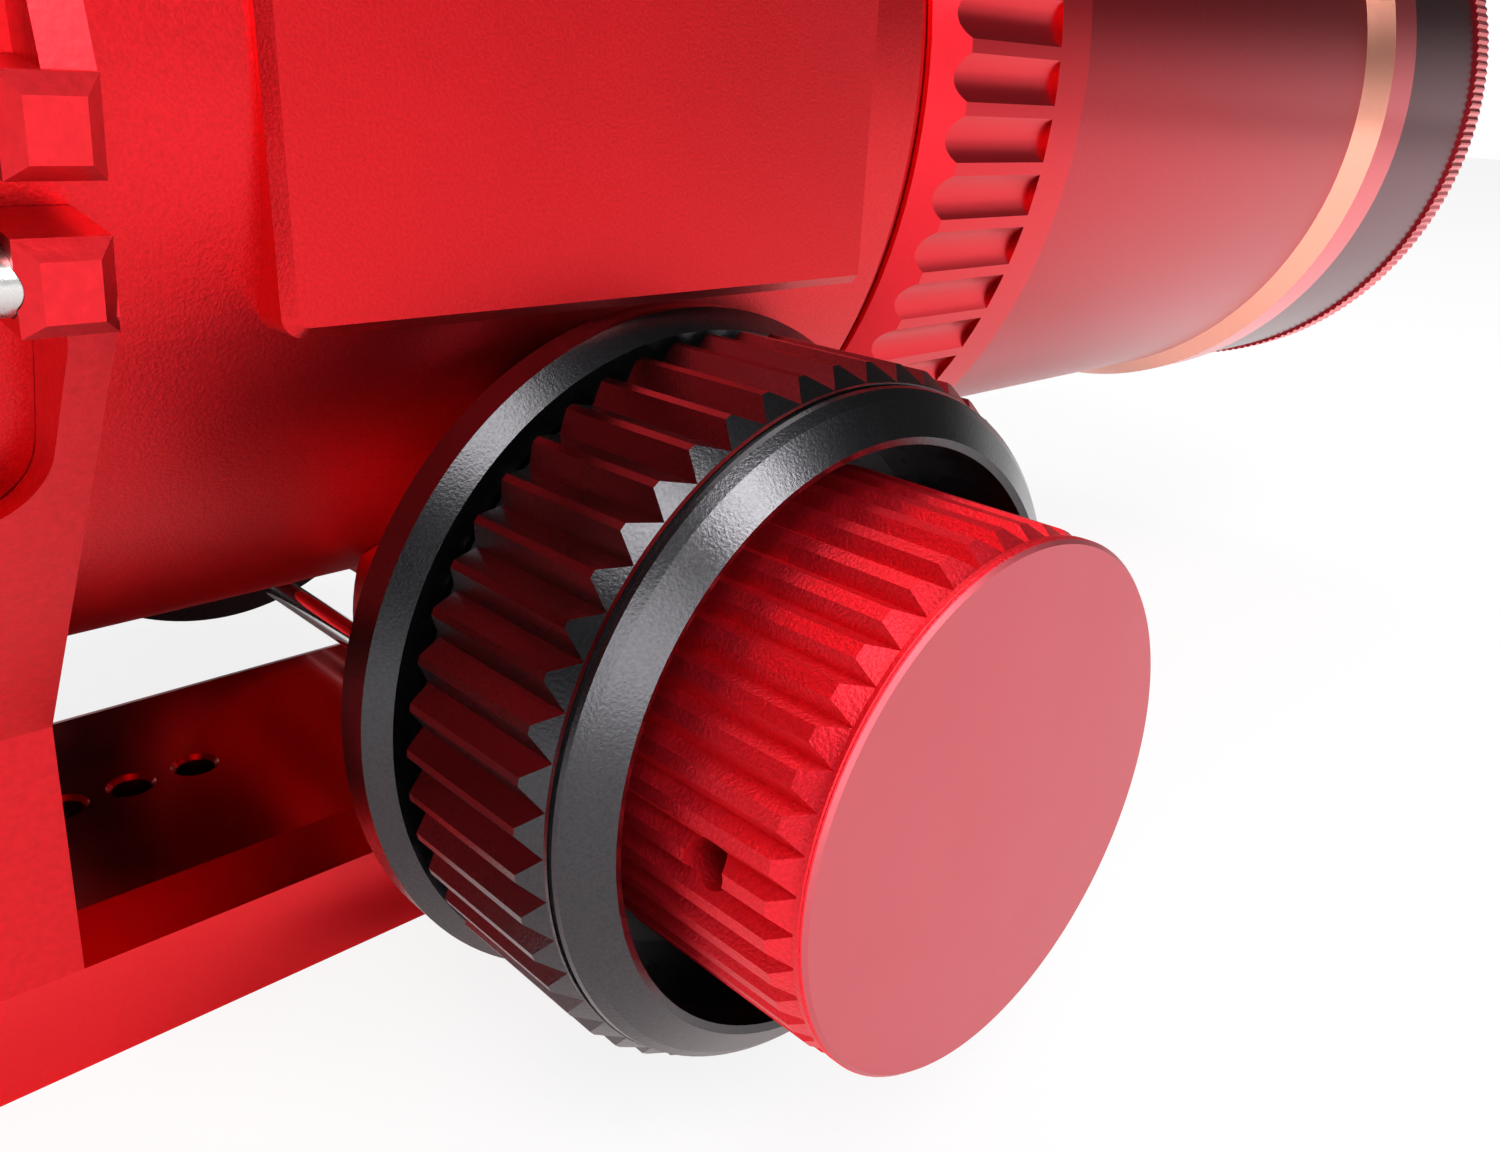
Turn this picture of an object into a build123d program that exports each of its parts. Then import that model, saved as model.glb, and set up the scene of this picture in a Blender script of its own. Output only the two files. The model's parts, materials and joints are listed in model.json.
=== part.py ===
from build123d import *
from math import acos, copysign, cos, pi, radians, sin, sqrt, tan
import os

# A small internal-focus refractor: a clamped tube on a dovetail bar, with a two-speed
# focus drive across its underside. Millimetres. +X is the way the tube looks, -Y is the
# side of the two-speed knob, +Z is up. The origin is on the underside of the dovetail
# bar, below the focus shaft.

os.makedirs("parts", exist_ok=True)


def save(part, label):
    """Name a finished piece and write it as its own STEP file."""
    part.label = label
    export_step(part, f"parts/{label}.step")


# ---------------------------------------------------------------- clearances
running_gap = 0.05        # a shaft in its bush, a carriage in its bore
seat_gap = 0.05           # between fixed round pieces that seat in each other
turn_gap = 0.3            # between pieces that move past each other
cap_gap = 0.08            # the front cap's plug in the dew shield
seam_gap = 0.1            # between the tube's end and the ribbed collar
screw_relief = 0.5        # a blind hole beyond the end of its screw
overcut = 1.0             # a cut beyond the surface it opens
rim_edge = 0.4            # small turned edges

# shares that shape a socket-head screw
head_edge_share = 0.12    # its edge, of the head's radius
socket_share = 0.95       # its socket, of the shank's radius
socket_depth_share = 0.6  # of the head's height
grub_socket_share = 0.6   # a grub screw's socket, of its radius

# ---------------------------------------------------------------- tube
bar_height = 9.0          # thickness of the dovetail bar
tube_radius = 42.5
tube_rise = 19.0          # bottom of the tube above the top of the bar
tube_wall = 3.5
tube_front = 24.6
tube_rear = -86.0
tube_front_fall = 1.3     # soft front edge of the tube
tube_front_run = 2.1
tube_bore = tube_radius - tube_wall
tube_z = bar_height + tube_rise + tube_radius

# flat pad on the knob side of the tube
pad_front = 17.0
pad_rear = -28.0
pad_height = 29.4
pad_proud = 1.1           # above the tube's side
pad_corner = 1.2
pad_edge = 0.65
pad_root = 0.5            # the pad reaches this far into the tube wall
pad_front_run = 4.0       # long soft edge towards the front
pad_front_fall = 1.0
pad_face_y = tube_radius + pad_proud

# ---------------------------------------------------------------- dovetail bar
bar_width = 44.0
bar_front = 47.0
bar_rear = -88.0
bar_flank_angle = 15.0    # from the vertical
bar_bevel_run = 4.45      # soft top edge: width and drop
bar_top_fall = 2.0
bar_end_chamfer = 0.8
bar_hole_radius = 1.65    # M4 tapped
bar_hole_x = -20.5        # foremost of the row
bar_hole_pitch = 5.6
bar_hole_count = 3
bar_hole_sink = 0.4
bar_screw_radius = 2.5
bar_screw_head = 4.25
bar_screw_head_height = 4.4
bar_screw_sink = 5.0
bar_screw_grip = 9.0      # thread engaged in the ring's foot
bar_screw_spacing = 15.0

# ---------------------------------------------------------------- clamp ring
ring_front = -36.8
ring_width = 29.2
ring_wall = 1.65
ring_tilt = 9.1           # the split line drops towards the knob side
ring_split = 2.3          # gap between the two halves
lug_height = 4.3
lug_chamfer = 0.4
lug_bevel = 0.8           # round the end faces of the lugs
lug_prong = 4.0           # width of each end prong
lug_slot = 3.3            # open slot for each swing bolt
lug_end = 2.1             # lug beyond its bolt
swing_standoff = 2.0      # bolt line beyond the ring's outside
swing_radius = 1.25
swing_eye_radius = 1.5
swing_proud = 1.2         # bolt end above its nut
nut_radius = 1.95
nut_height = 5.0
nut_teeth = 18
nut_groove = 0.15
far_screw_head_height = 2.2
window_drop = 23.7        # bottom edge of the side window, below the tube's axis
window_height = 14.0      # up to behind the lug
window_corner = 4.2
window_post = 2.0
upper_web = 2.1           # end webs above the upper lugs
web_inset = 1.1           # their outer edge, in from the end of the lugs
web_half = 41.8           # half width of the ring where those webs turn in
web_rise = 20.0           # and its height above the split
web_top = 38.0            # the webs run out on the ring here
flank_drop = 12.2         # top of the ring's flank, below the tube's axis
flank_inset = 2.0         # and in from the end of the lugs
waist_half = 23.0         # half width of the ring's leg where its flank turns down
waist_rise = 21.1         # and its height above the shoulder of the bar
top_block_width = 24.0
top_block_height = 4.0    # above the ring
top_hole_radius = 1.65
top_hole_spacing = 16.0
rail_length = 56.0
rail_width = 32.0
rail_height = 8.0
rail_waist = 26.0
rail_lip = 3.2            # height of the rail's upright edge
ring_bore = tube_radius + seat_gap
ring_outer = ring_bore + ring_wall
swing_y = ring_outer + swing_standoff
lug_edge = swing_y + lug_end
lug_root = swing_y - swing_eye_radius - turn_gap
flank_half = lug_edge - flank_inset
web_edge = lug_edge - web_inset

# ---------------------------------------------------------------- rack and pinion
gear_module = 0.5
pinion_teeth = 16
rack_teeth = 12
pressure_angle = 20.0
backlash = 0.12
rack_width = 8.0
pinion_width = 7.0
rack_back = 3.0           # rack body above its pitch line
pitch_radius = gear_module * pinion_teeth / 2
pitch_length = pi * gear_module

# ---------------------------------------------------------------- focus shaft line
shaft_rise = 2.0          # focus shaft above the bottom of the tube
shaft_radius = 3.0
fine_shaft_radius = 2.0
boss_radius = 16.0
boss_inner = 24.0         # distance of the boss's inner end from the tube's middle
cradle_radius = 7.0
bush_radius = 5.0
bush_length = 8.0
tie_rod_radius = 1.4
tie_rod_x = 1.0
tie_rod_rise = 1.6        # clear above the bar
tie_rod_seat = 2.5
shaft_z = tube_z - tube_radius + shaft_rise
rack_pitch_z = shaft_z + pitch_radius
tie_rod_drop = shaft_z - bar_height - tie_rod_rise - tie_rod_radius

flange_radius = 25.15
flange_thickness = 3.8
flange_chamfer = 1.35
flange_screw_circle = 12.5
flange_screw_radius = 1.25
flange_screw_head = 2.3
flange_screw_head_height = 2.2
flange_screw_grip = 7.0
# The flange stands off as far as the tube's side needs, level with the flange's top.
flange_top_drop = max(0.0, tube_z - shaft_z - flange_radius)
flange_back = sqrt(tube_radius**2 - flange_top_drop**2) + turn_gap
flange_face = flange_back + flange_thickness

# reducer between the fine shaft and the coarse shaft
race_outer = 9.0
race_length = 6.0
race_cover = 0.7          # flange left in front of the race
ball_radius = 1.35
ball_count = 6
ball_gap = 0.03
sleeve_radius = 4.5
sleeve_wall = 1.0         # end wall of the hollow sleeve
race_end = flange_face - race_cover
race_start = race_end - race_length
ball_y = (race_start + race_end) / 2
sleeve_start = race_start - sleeve_wall
bush_start = sleeve_start - sleeve_wall - bush_length

# coarse wheels: lengths outwards from the flange
wheel_radius = 24.0
wheel_teeth = 51
wheel_groove = 1.0
wheel_crest = 0.5         # flat left on each ridge
wheel_neck_radius = 22.0
wheel_neck_length = 1.7
wheel_ridge_length = 11.0
wheel_slope_length = 1.3
wheel_land_length = 0.9
wheel_land_fall = 0.2
wheel_line_inset = 0.3    # fine turned line on the land
wheel_line_width = 0.3
wheel_line_depth = 0.2
wheel_edge_length = 0.5
wheel_edge_fall = 0.6
wheel_bevel_length = 1.3
wheel_rim_radius = 20.2
wheel_web = 6.0           # thickness behind the well
cavity_radius = 19.7
cavity_fillet = 0.4       # slope at the foot of the well
wheel_lip = 0.2           # small edge inside the rim
sleeve_proud = 3.0        # coarse sleeve beyond its hub
socket_depth = 1.5        # of the grub screws
hub_radius = 8.5
hub_length = 9.0
wheel_screw_radius = 1.1
far_dish = 1.6            # depth of the far wheel's dished face
wheel_back = flange_face + turn_gap
wheel_ridge_start = wheel_back + wheel_neck_length
wheel_ridge_end = wheel_ridge_start + wheel_ridge_length
wheel_land_start = wheel_ridge_end + wheel_slope_length
wheel_land_end = wheel_land_start + wheel_land_length
wheel_bevel_start = wheel_land_end + wheel_edge_length
wheel_front = wheel_bevel_start + wheel_bevel_length
wheel_floor = wheel_radius - wheel_groove
cavity_floor = wheel_back + wheel_web
hub_front = wheel_back + hub_length
sleeve_end = hub_front + sleeve_proud
far_face = wheel_front - far_dish
wheel_screw_y = (hub_front + cavity_floor) / 2

# fine knob
fine_radius = 17.0
fine_teeth = 44
fine_groove = 0.75
fine_crest = 0.9
fine_proud = 10.8         # its face beyond the coarse wheel's rim
fine_length = 17.9
fine_face_radius = 16.55
fine_rim_radius = 16.85
fine_rim_edge = 0.5
fine_rim_length = 1.1
fine_slope_length = 1.6
fine_line = 0.2           # fine turned line round the rim
fine_rise = 0.3           # slope up to the rim
fine_hollow_radius = 10.0
fine_hollow_reach = 3.5   # hollow beyond the end of the coarse sleeve
set_screw_inset = 7.4     # from the knob's face
set_screw_radius = 1.5
set_screw_sink = 4.5      # depth of the screw below the knob's side
fine_face = wheel_front + fine_proud
fine_back = fine_face - fine_length
fine_rim_end = fine_face - fine_rim_edge
fine_rim_start = fine_face - fine_rim_length
fine_ridge_end = fine_rim_start - fine_slope_length
fine_hollow_end = sleeve_end + fine_hollow_reach
set_screw_y = fine_face - set_screw_inset

# ---------------------------------------------------------------- objective and dew shield
collar_proud = 0.7        # ribbed collar above the tube
collar_length = 21.3
collar_front_fall = 1.5
collar_front_run = 1.6
collar_rear_fall = 1.5
collar_rear_run = 3.1
collar_grooves = 60
collar_groove_length = 15.3
collar_groove_radius = 3.0
collar_groove_depth = 0.6
shield_drop = 3.3         # dew shield's outside below the tube's
shield_wall = 2.45
shield_clearance = 0.45   # all round the barrel, bridged by the felt
shield_length = 68.0
accent_length = 4.2
accent_rise = 1.8         # front ring beyond the dew shield's outside
front_ring_length = 7.5
felt_length = 8.0
felt_depth = 0.9
felt_inset = 3.5
barrel_wall = 2.3
barrel_length = 75.4
barrel_plug = 8.0
baffle_inset = 27.4
baffle_thickness = 2.0
baffle_bore = 28.0
cap_drop = 0.5            # cap below the front ring
cap_wall = 2.0
cap_length = 23.5
cap_rim_length = 4.7
cap_rim_lip = 5.0
cap_rim_dish = 1.2
cap_teeth = 240
cap_groove = 0.25
cap_rim_edge = 0.5        # outer edge: length and drop
cap_rim_fall = 0.9
cap_plug_length = 5.0
cap_plug_wall = 2.0
lens_radius = 27.0
lens_rim = 1.5            # flat rim of each objective lens
objective_cell_length = 18.0
objective_cell_lip = 2.0
objective_cell_inset = 1.0
rear_lens_edge = 4.0
front_lens_edge = 6.0
lens_gap = 1.5
collar_radius = tube_radius + collar_proud
collar_rear = tube_front + seam_gap
collar_front = collar_rear + collar_length
shield_radius = tube_radius - shield_drop
shield_bore = shield_radius - shield_wall
front_ring_radius = shield_radius + accent_rise
cap_radius = front_ring_radius - cap_drop
cap_rim_radius = front_ring_radius
shield_rear = collar_front + turn_gap
accent_rear = shield_rear + shield_length
accent_front = accent_rear + accent_length
front_ring_front = accent_front + front_ring_length
barrel_outer = shield_bore - shield_clearance
barrel_bore = barrel_outer - barrel_wall
barrel_front = tube_front + barrel_length
cap_rear = front_ring_front + turn_gap
cap_rim_start = cap_rear + cap_length
cap_front = cap_rim_start + cap_rim_length
objective_stop = lens_radius - lens_rim

# ---------------------------------------------------------------- focusing carriage
focus_travel = 5.0        # each way
carriage_clearance = 1.6  # left in front of the carriage at the end of its travel
carriage_length = 28.0
carriage_lip = 2.0
focus_lens_radius = 30.0
focus_lens_rim = 1.5
focus_washer_length = 2.0
focus_lens_edge = 5.0
focus_gap_edge = 3.0
carriage_front = tube_front - barrel_plug - carriage_clearance - focus_travel
carriage_lip_bore = focus_lens_radius - focus_lens_rim
carriage_flat_z = shaft_z + shaft_radius + 1.5 * turn_gap

# ---------------------------------------------------------------- rear end
rear_plate_length = 4.0
rear_plug_length = 6.0
rear_edge = 1.0           # outer edge of the rear cell
rear_bore = 24.0
spigot_radius = 31.0
spigot_length = 8.0
rotator_drop = 4.0        # rotator's outside below the tube's
rotator_back = 2.0
rotator_edge = 0.8
rotator_teeth = 60
rotator_groove = 0.6
rotator_crest = 1.8
rotator_back_bore = 26.0
adapter_flange_radius = 30.0
adapter_flange_length = 2.5
thread_radius = 24.0      # M48 camera thread
thread_length = 5.0
adapter_bore = 21.5
rear_cap_radius = 28.0
rear_cap_length = 8.0
rear_cap_floor = 2.0
rear_cap_edge = 0.8
lock_screw_radius = 1.5
lock_head_radius = 4.0
lock_head_height = 6.0
lock_head_teeth = 20
lock_head_groove = 0.35
lock_head_crest = 0.4
lock_standoff = 1.2
rotator_radius = tube_radius - rotator_drop


# ---------------------------------------------------------------- planes and shared shapes
def across(x):
    """A plane square to the tube at station x, with its origin on the tube axis."""
    return Plane(origin=(x, 0, tube_z), x_dir=(0, 1, 0), z_dir=(1, 0, 0))


def knob_plane(distance, side=-1):
    """A plane square to the focus shaft, facing outwards on the near (-1) or far (+1) side."""
    return Plane(origin=(0, side * distance, shaft_z), x_dir=(1, 0, 0), z_dir=(0, side, 0))


# Half-section of a turned piece on the tube axis: x runs along the tube, y is the radius.
tube_section = Plane(origin=(0, 0, tube_z), x_dir=(1, 0, 0), z_dir=(0, -1, 0))
tube_axis = Axis((0, 0, tube_z), (1, 0, 0))

# Half-sections on the focus shaft: x is the distance out from the tube's middle.
shaft_section = {
    -1: Plane(origin=(0, 0, shaft_z), x_dir=(0, -1, 0), z_dir=(-1, 0, 0)),
    1: Plane(origin=(0, 0, shaft_z), x_dir=(0, 1, 0), z_dir=(1, 0, 0)),
}
shaft_axis = Axis((0, 0, shaft_z), (0, 1, 0))


def turned(section, axis, points):
    """A ring turned from a closed outline of (along, radius) points."""
    with BuildPart() as ring:
        with BuildSketch(section):
            with BuildLine():
                Polyline(*points, close=True)
            make_face()
        revolve(axis=axis)
    return ring.part


def tube_turned(*points):
    """A piece turned on the tube axis."""
    return turned(tube_section, tube_axis, points)


def shaft_turned(side, *points):
    """A piece turned on the focus shaft, on the near (-1) or far (+1) side."""
    return turned(shaft_section[side], shaft_axis, points)


def ridged_prism(plane, length, outer, depth, count, crest):
    """A prism with V grooves all round: crests at the outer radius, floors depth below."""
    step = 2 * pi / count
    half_crest = crest / 2 / outer
    points = []
    for i in range(count):
        middle = i * step
        points.append((outer * cos(middle - half_crest), outer * sin(middle - half_crest)))
        points.append((outer * cos(middle + half_crest), outer * sin(middle + half_crest)))
        floor = middle + step / 2
        points.append(((outer - depth) * cos(floor), (outer - depth) * sin(floor)))
    with BuildPart() as prism:
        with BuildSketch(plane):
            with BuildLine():
                Polyline(*points, close=True)
            make_face()
        extrude(amount=length)
    return prism.part


def socket_screw(plane, shank_radius, shank_length, head_radius, head_height):
    """A socket-head screw whose head stands on the plane and whose shank runs back from it."""
    with BuildPart() as screw:
        with BuildSketch(plane):
            Circle(head_radius)
        extrude(amount=head_height)
        screw_top = screw.faces().sort_by(Axis(plane.origin, plane.z_dir))[-1]
        chamfer(screw_top.edges(), head_radius * head_edge_share)
        with BuildSketch(plane):
            Circle(shank_radius)
        extrude(amount=-shank_length)
        with BuildSketch(plane.offset(head_height)):
            RegularPolygon(shank_radius * socket_share, 6)
        extrude(amount=-head_height * socket_depth_share, mode=Mode.SUBTRACT)
    return screw.part


def half_sag(bulge, clear):
    """How far a spherical face still stands out halfway between its middle and its rim."""
    sphere = (clear**2 + bulge**2) / (2 * abs(bulge))
    return copysign(abs(bulge) - sphere + sqrt(sphere**2 - clear**2 / 4), bulge)


def lens(rear_edge, front_edge, radius, clear, front_bulge, rear_bulge):
    """A lens on the tube axis with flat rims; a positive bulge stands out, a negative one is hollow."""
    with BuildPart() as glass:
        with BuildSketch(tube_section):
            with BuildLine():
                ThreePointArc(
                    (front_edge + front_bulge, 0),
                    (front_edge + half_sag(front_bulge, clear), clear / 2),
                    (front_edge, clear),
                )
                Polyline((front_edge, clear), (front_edge, radius), (rear_edge, radius), (rear_edge, clear))
                ThreePointArc(
                    (rear_edge, clear),
                    (rear_edge - half_sag(rear_bulge, clear), clear / 2),
                    (rear_edge - rear_bulge, 0),
                )
                Line((rear_edge - rear_bulge, 0), (front_edge + front_bulge, 0))
            make_face()
        revolve(axis=tube_axis)
    return glass.part


# ---------------------------------------------------------------- dovetail bar
bar_flank_run = (bar_height - bar_top_fall) * tan(radians(bar_flank_angle))
bar_half = bar_width / 2
bar_outline = [
    (-bar_half, 0),
    (bar_half, 0),
    (bar_half - bar_flank_run, bar_height - bar_top_fall),
    (bar_half - bar_flank_run - bar_bevel_run, bar_height),
    (-bar_half + bar_flank_run + bar_bevel_run, bar_height),
    (-bar_half + bar_flank_run, bar_height - bar_top_fall),
]
bar_section = Plane(origin=(bar_rear, 0, 0), x_dir=(0, 1, 0), z_dir=(1, 0, 0))
ring_rear = ring_front - ring_width
ring_middle = ring_front - ring_width / 2
bar_screw_x = [ring_middle - bar_screw_spacing / 2, ring_middle + bar_screw_spacing / 2]
bar_hole_xs = [bar_hole_x - i * bar_hole_pitch for i in range(bar_hole_count)]

with BuildPart() as dovetail_bar:
    with BuildSketch(bar_section):
        with BuildLine():
            Polyline(*bar_outline, close=True)
        make_face()
    extrude(amount=bar_front - bar_rear)
    bar_ends = dovetail_bar.faces().sort_by(Axis.X)
    chamfer(bar_ends[0].edges() + bar_ends[-1].edges(), bar_end_chamfer)
    with BuildSketch(Plane.XY):
        with Locations(*[(x, 0) for x in bar_screw_x]):
            Circle(bar_screw_radius + seat_gap)
        with Locations(*[(x, 0) for x in bar_hole_xs]):
            Circle(bar_hole_radius)
    extrude(amount=bar_height, mode=Mode.SUBTRACT)
    with BuildSketch(Plane.XY):
        with Locations(*[(x, 0) for x in bar_screw_x]):
            Circle(bar_screw_head + turn_gap)
    extrude(amount=bar_screw_sink, mode=Mode.SUBTRACT)
    with BuildSketch(Plane.XY.offset(bar_height)):
        with Locations(*[(x, 0) for x in bar_hole_xs]):
            Circle(bar_hole_radius + bar_hole_sink)
    extrude(amount=-bar_hole_sink, taper=45, mode=Mode.SUBTRACT)
save(dovetail_bar.part, "dovetail_bar")

with BuildPart() as bar_screws:
    for x in bar_screw_x:
        sunk = Plane(origin=(x, 0, bar_screw_sink), x_dir=(1, 0, 0), z_dir=(0, 0, -1))
        add(socket_screw(sunk, bar_screw_radius, bar_height - bar_screw_sink + bar_screw_grip,
                         bar_screw_head, bar_screw_head_height))
save(bar_screws.part, "bar_screws")

# ---------------------------------------------------------------- clamp ring
tilt = radians(ring_tilt)
# Frame of the split: x along the tube, y along the split to the far side, z square to it.
ring_plane = Plane(origin=(ring_middle, 0, tube_z), x_dir=(1, 0, 0), z_dir=(0, -sin(tilt), cos(tilt)))
swing_x = ring_width / 2 - lug_prong - lug_slot / 2
lug_middle = (ring_split + lug_height) / 2
lug_top = ring_split / 2 + lug_height
ring_width_dir = ring_plane.y_dir


def lug(width, x, side, middle):
    """One lug with its end face bevelled, on the near (-1) or far (+1) side of the ring."""
    outwards = ring_plane.y_dir * side
    root = Plane(ring_plane.from_local_coords((x, side * lug_root, middle)), x_dir=(1, 0, 0), z_dir=outwards)
    with BuildPart(root) as block:
        Box(width, lug_height, lug_edge - lug_root, align=(Align.CENTER, Align.CENTER, Align.MIN))
        chamfer(block.faces().sort_by(Axis(root.origin, outwards))[-1].edges(), lug_bevel)
    return block.part


def lugs(middle):
    """The lugs of one half: three prongs beside the swing bolts, and one long far lug."""
    prong_x = (ring_width - lug_prong) / 2
    return [
        lug(lug_prong, prong_x, -1, middle),
        lug(ring_width - 2 * lug_prong - 2 * lug_slot, 0, -1, middle),
        lug(lug_prong, -prong_x, -1, middle),
        lug(ring_width, 0, 1, middle),
    ]


top_block_z = tube_z + ring_outer + top_block_height

with BuildPart() as ring_upper:
    with BuildSketch(across(ring_rear)):
        Circle(ring_outer)
        with Locations((0, ring_outer / 2 + top_block_height / 2)):
            Rectangle(top_block_width, ring_outer + top_block_height)
    extrude(amount=ring_width)
    chamfer(ring_upper.faces().sort_by(Axis.Z)[-1].edges(), lug_chamfer)
    for web_x in (ring_rear, ring_front - upper_web):
        with BuildSketch(Plane(origin=(web_x, 0, tube_z), x_dir=ring_width_dir, z_dir=(1, 0, 0))):
            with BuildLine():
                Polyline(
                    (-web_edge, 0),
                    (-web_edge, lug_top),
                    (-web_half, web_rise),
                    (-ring_bore / 2, web_top),
                    (ring_bore / 2, web_top),
                    (web_half, web_rise),
                    (web_edge, lug_top),
                    (web_edge, 0),
                    close=True,
                )
            make_face()
        extrude(amount=upper_web)
    with Locations(ring_plane):
        with Locations((0, 0, lug_middle)):
            Box(ring_width, 2 * lug_root, lug_height)
    for block in lugs(lug_middle):
        add(block)
    with Locations(ring_plane):
        with Locations((0, 0, ring_split / 2)):
            Box(2 * ring_width, 3 * lug_edge, 3 * lug_edge,
                align=(Align.CENTER, Align.CENTER, Align.MAX), mode=Mode.SUBTRACT)
        with Locations((-swing_x, swing_y, 0), (swing_x, swing_y, 0)):
            Cylinder(swing_radius + turn_gap, 3 * lug_height, mode=Mode.SUBTRACT)
    with BuildSketch(across(ring_rear)):
        Circle(ring_bore)
    extrude(amount=ring_width, mode=Mode.SUBTRACT)
    with BuildSketch(Plane(origin=(ring_middle, 0, top_block_z), x_dir=(1, 0, 0), z_dir=(0, 0, 1))):
        with Locations((-top_hole_spacing / 2, 0), (top_hole_spacing / 2, 0)):
            Circle(top_hole_radius)
    extrude(amount=-top_block_height, mode=Mode.SUBTRACT)
save(ring_upper.part, "ring_upper")

foot_half = bar_half - bar_flank_run
window_middle = tube_z - window_drop + window_height / 2
with BuildPart() as ring_lower:
    with BuildSketch(bar_section.offset(ring_rear - bar_rear)):
        with BuildLine():
            Polyline(
                (-flank_half, tube_z),
                (-flank_half, tube_z - flank_drop),
                (-waist_half, bar_height - bar_top_fall + waist_rise),
                (-foot_half, bar_height - bar_top_fall),
                (foot_half, bar_height - bar_top_fall),
                (waist_half, bar_height - bar_top_fall + waist_rise),
                (flank_half, tube_z - flank_drop),
                (flank_half, tube_z),
                close=True,
            )
        make_face()
    extrude(amount=ring_width)
    with BuildSketch(Plane(origin=(ring_middle, 0, window_middle),
                           x_dir=(1, 0, 0), z_dir=(0, -1, 0))):
        RectangleRounded(ring_width - 2 * window_post, window_height, window_corner)
    extrude(amount=2 * lug_edge, both=True, mode=Mode.SUBTRACT)
    with Locations(ring_plane):
        with Locations((-swing_x, -lug_edge, -lug_middle), (swing_x, -lug_edge, -lug_middle)):
            Box(lug_slot, 2 * (lug_edge - lug_root), lug_height + ring_split, mode=Mode.SUBTRACT)
        with Locations((0, 0, -lug_middle)):
            Box(ring_width, 2 * lug_root, lug_height)
    for block in lugs(-lug_middle):
        add(block)
    with BuildSketch(across(ring_rear)):
        with BuildLine():
            Polyline(
                (0, 0),
                (ring_outer * cos(tilt), -ring_outer * sin(tilt)),
                (ring_outer * cos(tilt), ring_outer * sin(tilt)),
                close=True,
            )
        make_face()
        Circle(ring_outer, mode=Mode.INTERSECT)
    extrude(amount=ring_width)
    with Locations(ring_plane):
        with Locations((0, 0, -ring_split / 2)):
            Box(2 * ring_width, 3 * lug_edge, 3 * lug_edge,
                align=(Align.CENTER, Align.CENTER, Align.MIN), mode=Mode.SUBTRACT)
        with Locations((-swing_x, swing_y, 0), (swing_x, swing_y, 0)):
            Cylinder(swing_radius + seat_gap, 2 * lug_top + screw_relief, mode=Mode.SUBTRACT)
        with Locations((0, -swing_y, -lug_middle)):
            Cylinder(swing_eye_radius + seat_gap, ring_width - lug_prong, rotation=(0, 90, 0),
                     mode=Mode.SUBTRACT)
    with BuildSketch(across(ring_rear)):
        Circle(ring_bore)
    extrude(amount=ring_width, mode=Mode.SUBTRACT)
    with BuildSketch(bar_section):
        with BuildLine():
            Polyline(*bar_outline, close=True)
        make_face()
    extrude(amount=bar_front - bar_rear, mode=Mode.SUBTRACT)
    with BuildSketch(Plane.XY):
        with Locations(*[(x, 0) for x in bar_screw_x]):
            Circle(bar_screw_radius + seat_gap)
    extrude(amount=bar_height + bar_screw_grip + screw_relief, mode=Mode.SUBTRACT)
save(ring_lower.part, "ring_lower")

bolt_top = lug_top + nut_height + swing_proud
with BuildPart() as swing_bolts:
    with Locations(ring_plane):
        with Locations((-swing_x, -swing_y, -lug_middle), (swing_x, -swing_y, -lug_middle)):
            Cylinder(swing_eye_radius, lug_slot + 2 * (lug_prong / 2 - seat_gap), rotation=(0, 90, 0))
            Cylinder(swing_radius, bolt_top + lug_middle, align=(Align.CENTER, Align.CENTER, Align.MIN))
save(swing_bolts.part, "swing_bolts")

for name, x in (("thumb_nut_front", swing_x), ("thumb_nut_rear", -swing_x)):
    nut_base = Plane(ring_plane.from_local_coords((x, -swing_y, lug_top)), x_dir=(1, 0, 0),
                     z_dir=ring_plane.z_dir)
    with BuildPart() as thumb_nut:
        add(ridged_prism(nut_base, nut_height, nut_radius, nut_groove, nut_teeth, nut_groove))
        with BuildSketch(nut_base):
            Circle(swing_radius + running_gap)
        extrude(amount=nut_height, mode=Mode.SUBTRACT)
    save(thumb_nut.part, name)

with BuildPart() as far_clamp_screws:
    for x in (-swing_x, swing_x):
        far_seat = Plane(ring_plane.from_local_coords((x, swing_y, lug_top)), x_dir=(1, 0, 0),
                         z_dir=ring_plane.z_dir)
        add(socket_screw(far_seat, swing_radius, 2 * lug_height + ring_split - screw_relief,
                         nut_radius, far_screw_head_height))
save(far_clamp_screws.part, "far_clamp_screws")

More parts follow.
